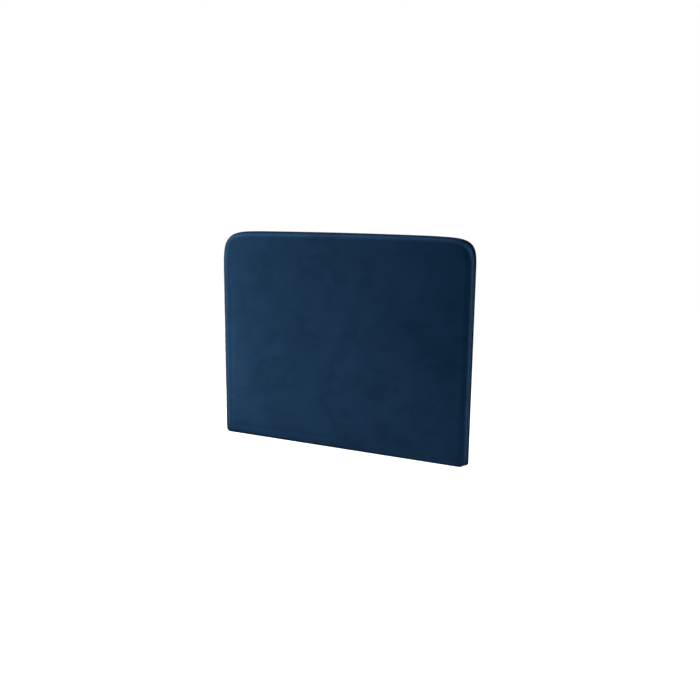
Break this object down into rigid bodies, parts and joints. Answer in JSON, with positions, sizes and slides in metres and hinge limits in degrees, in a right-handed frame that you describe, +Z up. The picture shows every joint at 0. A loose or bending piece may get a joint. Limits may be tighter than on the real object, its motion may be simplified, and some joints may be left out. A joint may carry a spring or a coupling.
{
  "type": "upholstered wall pad",
  "caption": "Wide padded wall panel in a fabric cover with rounded top corners and a piped edge, hung on a two-part bevelled cleat.",
  "frame": {"origin": "middle of the wall cleat's row of screw holes, on the wall plane", "axes": "+X along the pad's width, -Y out of the pad's front, +Y towards the wall, +Z up"},
  "size_m": [1.4044, 0.0853, 1.1244],
  "materials": {
    "velvet": "matte",
    "wadding": "matte",
    "foam": "matte",
    "pine": "satin",
    "plywood": "satin",
    "beech": "satin",
    "dust_cloth": "matte",
    "felt": "matte",
    "cord": "matte",
    "zinc_steel": "satin"
  },
  "bodies": {
    "wall_side": {"wall_cleat": "plywood"},
    "pad": {"pad_cleat": "plywood", "cleat_screws": "zinc_steel", "spacer_left": "pine", "spacer_right": "pine", "spacer_felts": "felt", "spacer_screws": "zinc_steel", "dust_cover": "dust_cloth", "dust_cover_staples": "zinc_steel", "cover_staples": "zinc_steel", "top_rail": "pine", "bottom_rail": "pine", "stile_left": "pine", "stile_right": "pine", "corner_block_left": "plywood", "corner_block_right": "plywood", "hanging_rail": "pine", "inner_stile_left": "pine", "inner_stile_right": "pine", "strut_left": "pine", "strut_right": "pine", "frame_dowels": "beech", "frame_screws": "zinc_steel", "face_board": "plywood", "face_board_nails": "zinc_steel", "foam_slab": "foam", "edge_foam_top": "foam", "edge_foam_left": "foam", "edge_foam_right": "foam", "edge_foam_bottom": "foam", "wadding": "wadding", "face_panel": "velvet", "piping_cover": "velvet", "piping_cord": "cord", "boxing_strip": "velvet", "boxing_bottom": "velvet"}
  },
  "joints": [
    {"name": "lift_off", "type": "slide", "parent": "wall_side", "child": "pad", "axis": [0, -0.7071, 0.7071], "range_m": [0, 0.06]}
  ]
}
